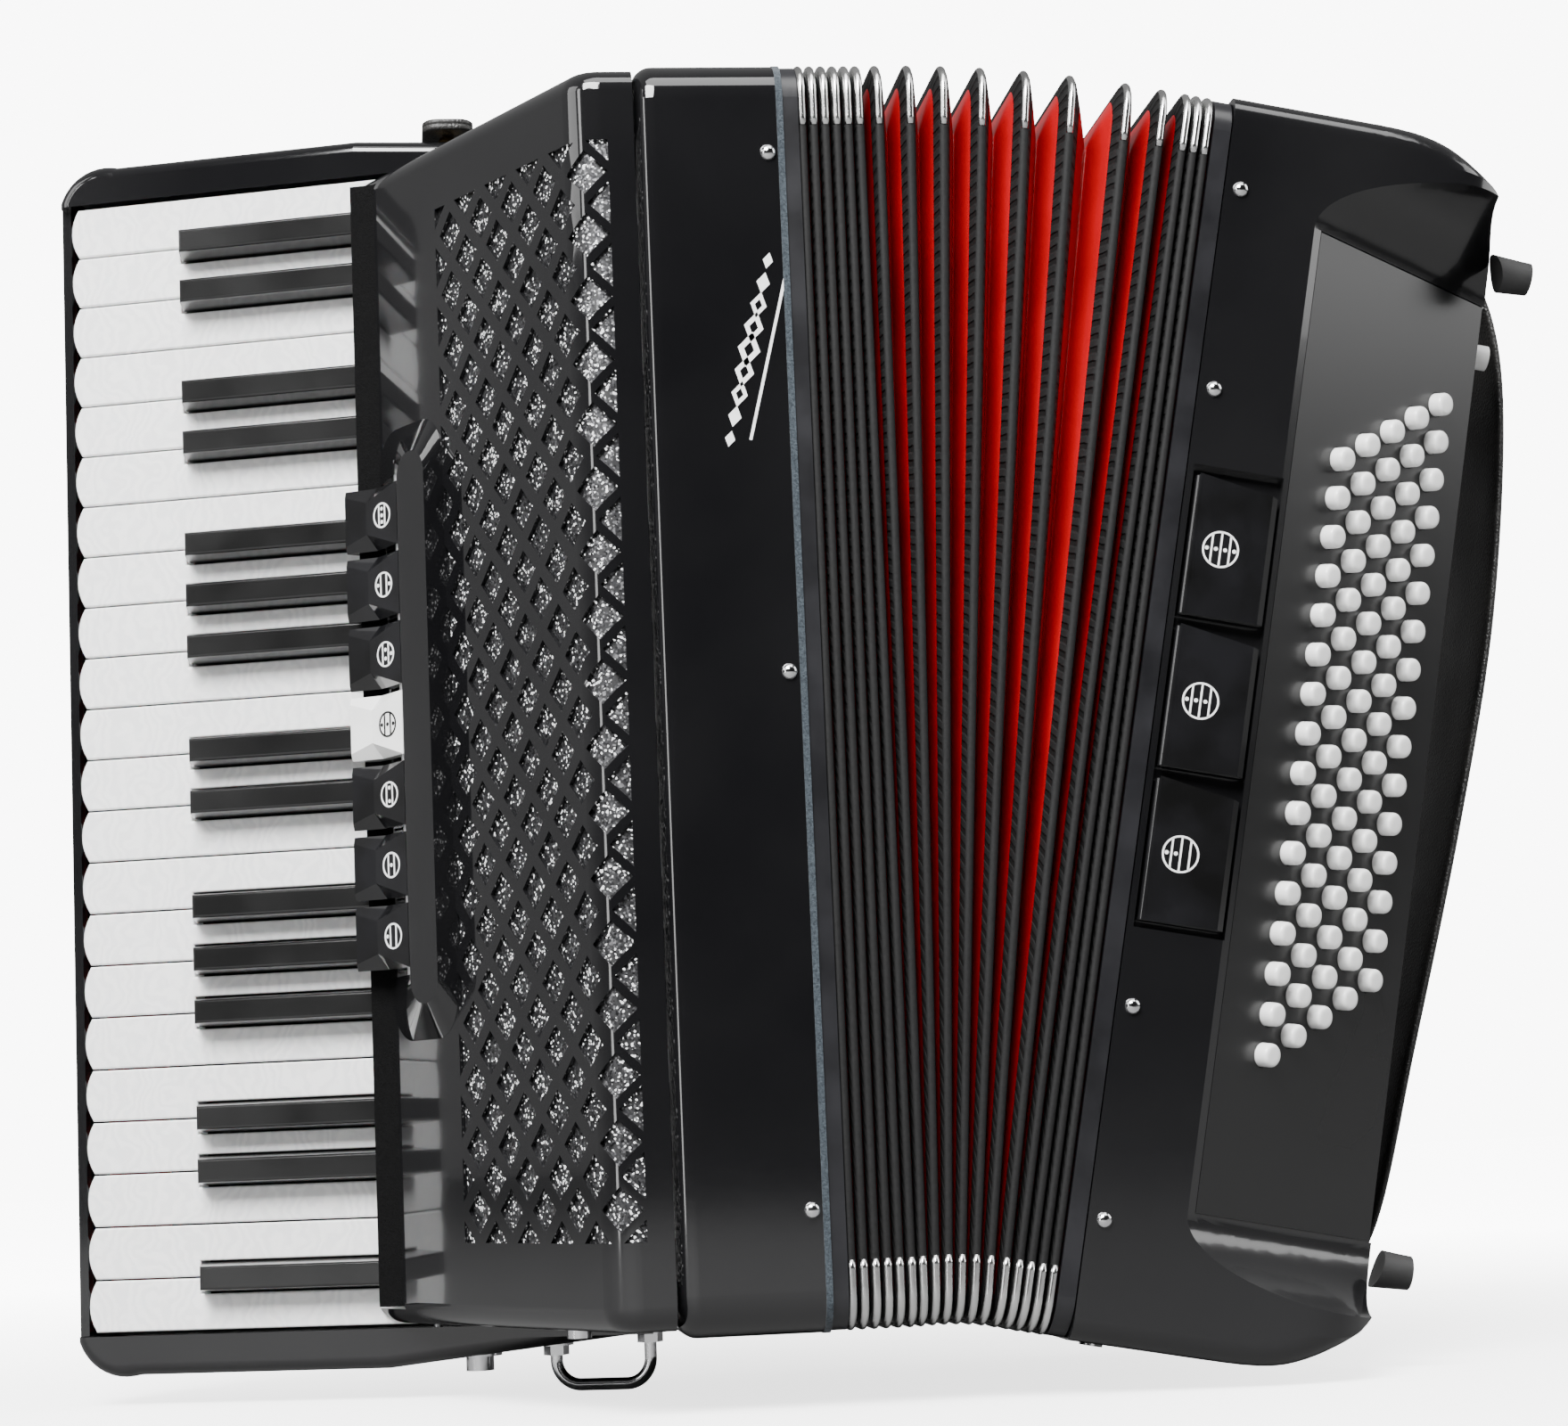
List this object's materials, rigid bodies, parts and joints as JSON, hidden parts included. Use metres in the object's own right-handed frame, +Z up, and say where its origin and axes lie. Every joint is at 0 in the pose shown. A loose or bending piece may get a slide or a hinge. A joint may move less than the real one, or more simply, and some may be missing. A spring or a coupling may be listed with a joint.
{
  "type": "piano accordion",
  "caption": "Piano accordion with a fan-opened bellows, tilted piano keyboard, perforated grille hood, register tabs, stepped bass button board and leather hand strap.",
  "frame": {"origin": "middle of the joint plane between the treble casing and the bellows", "axes": "+X towards the bass side, +Y towards the back that faces the player, +Z up along the keyboard to its low notes"},
  "size_m": [0.54, 0.2082, 0.4687],
  "materials": {
    "body_black": "high gloss",
    "key_white": "pearloid gloss",
    "key_black": "gloss",
    "wood_pale": "sealed",
    "wood_black": "stained",
    "felt_dark": "felt",
    "felt_red": "felt",
    "gasket_grey": "felt",
    "grille_cloth": "sparkling woven",
    "fold_red": "coated bookcloth",
    "ridge_tape": "ribbed tape with chrome corners",
    "chrome": "polished",
    "steel": "satin",
    "leather_black": "stitched",
    "rubber": "matt",
    "button_white": "gloss",
    "tab_black": "gloss",
    "tab_white": "gloss",
    "metal_reed": "satin"
  },
  "bodies": {
    "treble_side": {"treble_casing": "body_black", "treble_soundboard": "wood_pale", "treble_reed_blocks": "wood_pale", "keyboard_frame": "body_black", "pivot_rods": "steel", "key_bed_felt": "felt_red", "key_cover_felt": "felt_dark", "grille_hood": "body_black", "grille_cloth": "grille_cloth", "register_housing": "body_black", "treble_feet": "chrome", "strap_bracket": "chrome", "upper_strap_tab": "leather_black", "bellows_straps": "leather_black", "bellows_gasket": "gasket_grey", "bellows_frame_treble": "wood_black", "bellows_pins_treble": "chrome", "bellows_folds_treble": "fold_red"},
    "ridge_a": {"bellows_ridge_a": "ridge_tape", "bellows_folds_middle": "fold_red"},
    "ridge_b": {"bellows_ridge_b": "ridge_tape"},
    "bass_side": {"bellows_folds_bass": "fold_red", "bellows_frame_bass": "wood_black", "bellows_pins_bass": "chrome", "bass_casing": "body_black", "bass_button_board": "body_black", "bass_guide_plate": "steel", "bass_reed_blocks": "wood_pale", "bass_cover_plate": "body_black", "bass_strap": "leather_black", "bass_rubber_feet": "rubber", "bass_studs": "chrome"},
    "keys_g": {"keys_g": "key_white"},
    "keys_g_sharp": {"keys_g_sharp": "key_black"},
    "keys_a": {"keys_a": "key_white"},
    "keys_a_sharp": {"keys_a_sharp": "key_black"},
    "keys_b": {"keys_b": "key_white"},
    "keys_c": {"keys_c": "key_white"},
    "keys_c_sharp": {"keys_c_sharp": "key_black"},
    "keys_d": {"keys_d": "key_white"},
    "keys_d_sharp": {"keys_d_sharp": "key_black"},
    "keys_e": {"keys_e": "key_white"},
    "keys_f": {"keys_f": "key_white"},
    "keys_f_sharp": {"keys_f_sharp": "key_black"},
    "buttons_counterbass": {"bass_buttons_counterbass": "button_white"},
    "buttons_fundamental": {"bass_buttons_fundamental": "button_white"},
    "buttons_major": {"bass_buttons_major": "button_white"},
    "buttons_minor": {"bass_buttons_minor": "button_white"},
    "buttons_seventh": {"bass_buttons_seventh": "button_white"},
    "register_1": {"treble_register_1": "tab_black"},
    "register_2": {"treble_register_2": "tab_black"},
    "register_3": {"treble_register_3": "tab_black"},
    "register_4": {"treble_register_4": "tab_white"},
    "register_5": {"treble_register_5": "tab_black"},
    "register_6": {"treble_register_6": "tab_black"},
    "register_7": {"treble_register_7": "tab_black"},
    "bass_register_1": {"bass_register_1": "tab_black"},
    "bass_register_2": {"bass_register_2": "tab_black"},
    "bass_register_3": {"bass_register_3": "tab_black"},
    "air_button": {"air_button": "button_white"}
  },
  "joints": [
    {"name": "bellows_draw", "type": "slide", "parent": "treble_side", "child": "ridge_a", "axis": [1, 0, 0], "range_m": [-0.003, 0.09], "deforming": ["bellows_folds_treble"]},
    {"name": "bellows_fan", "type": "hinge", "parent": "ridge_a", "child": "ridge_b", "pos_m": [0.0455, 0, -0.2435], "axis": [0, 1, 0], "range_deg": [-10.8, 12], "deforming": ["bellows_folds_middle"]},
    {"name": "bellows_draw_bass", "type": "slide", "parent": "ridge_b", "child": "bass_side", "axis": [0.9823, 0, -0.1874], "range_m": [-0.002, 0.06], "deforming": ["bellows_folds_bass"]},
    {"name": "key_g", "type": "hinge", "parent": "treble_side", "child": "keys_g", "pos_m": [-0.12323, 0.04027, 0.0005], "axis": [0, 0, -1], "range_deg": [0, 2.4]},
    {"name": "key_g_sharp", "type": "hinge", "parent": "treble_side", "child": "keys_g_sharp", "pos_m": [-0.12323, 0.04027, 0.0005], "axis": [0, 0, -1], "range_deg": [0, 2.4]},
    {"name": "key_a", "type": "hinge", "parent": "treble_side", "child": "keys_a", "pos_m": [-0.12323, 0.04027, 0.0005], "axis": [0, 0, -1], "range_deg": [0, 2.4]},
    {"name": "key_c", "type": "hinge", "parent": "treble_side", "child": "keys_c", "pos_m": [-0.12323, 0.04027, 0.0005], "axis": [0, 0, -1], "range_deg": [0, 2.4]},
    {"name": "key_c_sharp", "type": "hinge", "parent": "treble_side", "child": "keys_c_sharp", "pos_m": [-0.12323, 0.04027, 0.0005], "axis": [0, 0, -1], "range_deg": [0, 2.4]},
    {"name": "register_1", "type": "hinge", "parent": "treble_side", "child": "register_1", "pos_m": [-0.12981, 0.00507, 0.0024], "axis": [0, 0, -1], "range_deg": [0, 4]},
    {"name": "register_4", "type": "hinge", "parent": "treble_side", "child": "register_4", "pos_m": [-0.12981, 0.00507, 0.0024], "axis": [0, 0, -1], "range_deg": [0, 4]},
    {"name": "button_counterbass", "type": "slide", "parent": "bass_side", "child": "buttons_counterbass", "axis": [-0.5774, 0.809, 0.1101], "range_m": [0, 0.0035]},
    {"name": "button_fundamental", "type": "slide", "parent": "bass_side", "child": "buttons_fundamental", "axis": [-0.5774, 0.809, 0.1101], "range_m": [0, 0.0035]},
    {"name": "bass_register_1", "type": "hinge", "parent": "bass_side", "child": "bass_register_1", "pos_m": [0.12471, -0.0992, -0.01072], "axis": [0.1874, 0, 0.9823], "range_deg": [0, 3.5]},
    {"name": "air_button", "type": "slide", "parent": "bass_side", "child": "air_button", "axis": [-0.9823, 0, 0.1874], "range_m": [0, 0.004]},
    {"name": "key_a_sharp", "type": "hinge", "parent": "treble_side", "child": "keys_a_sharp", "pos_m": [-0.12323, 0.04027, 0.0005], "axis": [0, 0, -1], "range_deg": [0, 2.4]},
    {"name": "key_b", "type": "hinge", "parent": "treble_side", "child": "keys_b", "pos_m": [-0.12323, 0.04027, 0.0005], "axis": [0, 0, -1], "range_deg": [0, 2.4]},
    {"name": "key_d", "type": "hinge", "parent": "treble_side", "child": "keys_d", "pos_m": [-0.12323, 0.04027, 0.0005], "axis": [0, 0, -1], "range_deg": [0, 2.4]},
    {"name": "key_d_sharp", "type": "hinge", "parent": "treble_side", "child": "keys_d_sharp", "pos_m": [-0.12323, 0.04027, 0.0005], "axis": [0, 0, -1], "range_deg": [0, 2.4]},
    {"name": "key_e", "type": "hinge", "parent": "treble_side", "child": "keys_e", "pos_m": [-0.12323, 0.04027, 0.0005], "axis": [0, 0, -1], "range_deg": [0, 2.4]},
    {"name": "key_f", "type": "hinge", "parent": "treble_side", "child": "keys_f", "pos_m": [-0.12323, 0.04027, 0.0005], "axis": [0, 0, -1], "range_deg": [0, 2.4]},
    {"name": "key_f_sharp", "type": "hinge", "parent": "treble_side", "child": "keys_f_sharp", "pos_m": [-0.12323, 0.04027, 0.0005], "axis": [0, 0, -1], "range_deg": [0, 2.4]},
    {"name": "button_major", "type": "slide", "parent": "bass_side", "child": "buttons_major", "axis": [-0.5774, 0.809, 0.1101], "range_m": [0, 0.0035]},
    {"name": "button_minor", "type": "slide", "parent": "bass_side", "child": "buttons_minor", "axis": [-0.5774, 0.809, 0.1101], "range_m": [0, 0.0035]},
    {"name": "button_seventh", "type": "slide", "parent": "bass_side", "child": "buttons_seventh", "axis": [-0.5774, 0.809, 0.1101], "range_m": [0, 0.0035]},
    {"name": "register_2", "type": "hinge", "parent": "treble_side", "child": "register_2", "pos_m": [-0.12981, 0.00507, 0.0024], "axis": [0, 0, -1], "range_deg": [0, 4]},
    {"name": "register_3", "type": "hinge", "parent": "treble_side", "child": "register_3", "pos_m": [-0.12981, 0.00507, 0.0024], "axis": [0, 0, -1], "range_deg": [0, 4]},
    {"name": "register_5", "type": "hinge", "parent": "treble_side", "child": "register_5", "pos_m": [-0.12981, 0.00507, 0.0024], "axis": [0, 0, -1], "range_deg": [0, 4]},
    {"name": "register_6", "type": "hinge", "parent": "treble_side", "child": "register_6", "pos_m": [-0.12981, 0.00507, 0.0024], "axis": [0, 0, -1], "range_deg": [0, 4]},
    {"name": "register_7", "type": "hinge", "parent": "treble_side", "child": "register_7", "pos_m": [-0.12981, 0.00507, 0.0024], "axis": [0, 0, -1], "range_deg": [0, 4]},
    {"name": "bass_register_2", "type": "hinge", "parent": "bass_side", "child": "bass_register_2", "pos_m": [0.12471, -0.0992, -0.01072], "axis": [0.1874, 0, 0.9823], "range_deg": [0, 3.5]},
    {"name": "bass_register_3", "type": "hinge", "parent": "bass_side", "child": "bass_register_3", "pos_m": [0.12471, -0.0992, -0.01072], "axis": [0.1874, 0, 0.9823], "range_deg": [0, 3.5]}
  ],
  "couplings": [
    {"joint": "bellows_draw_bass", "follows": "bellows_draw", "ratio": 0.65}
  ]
}
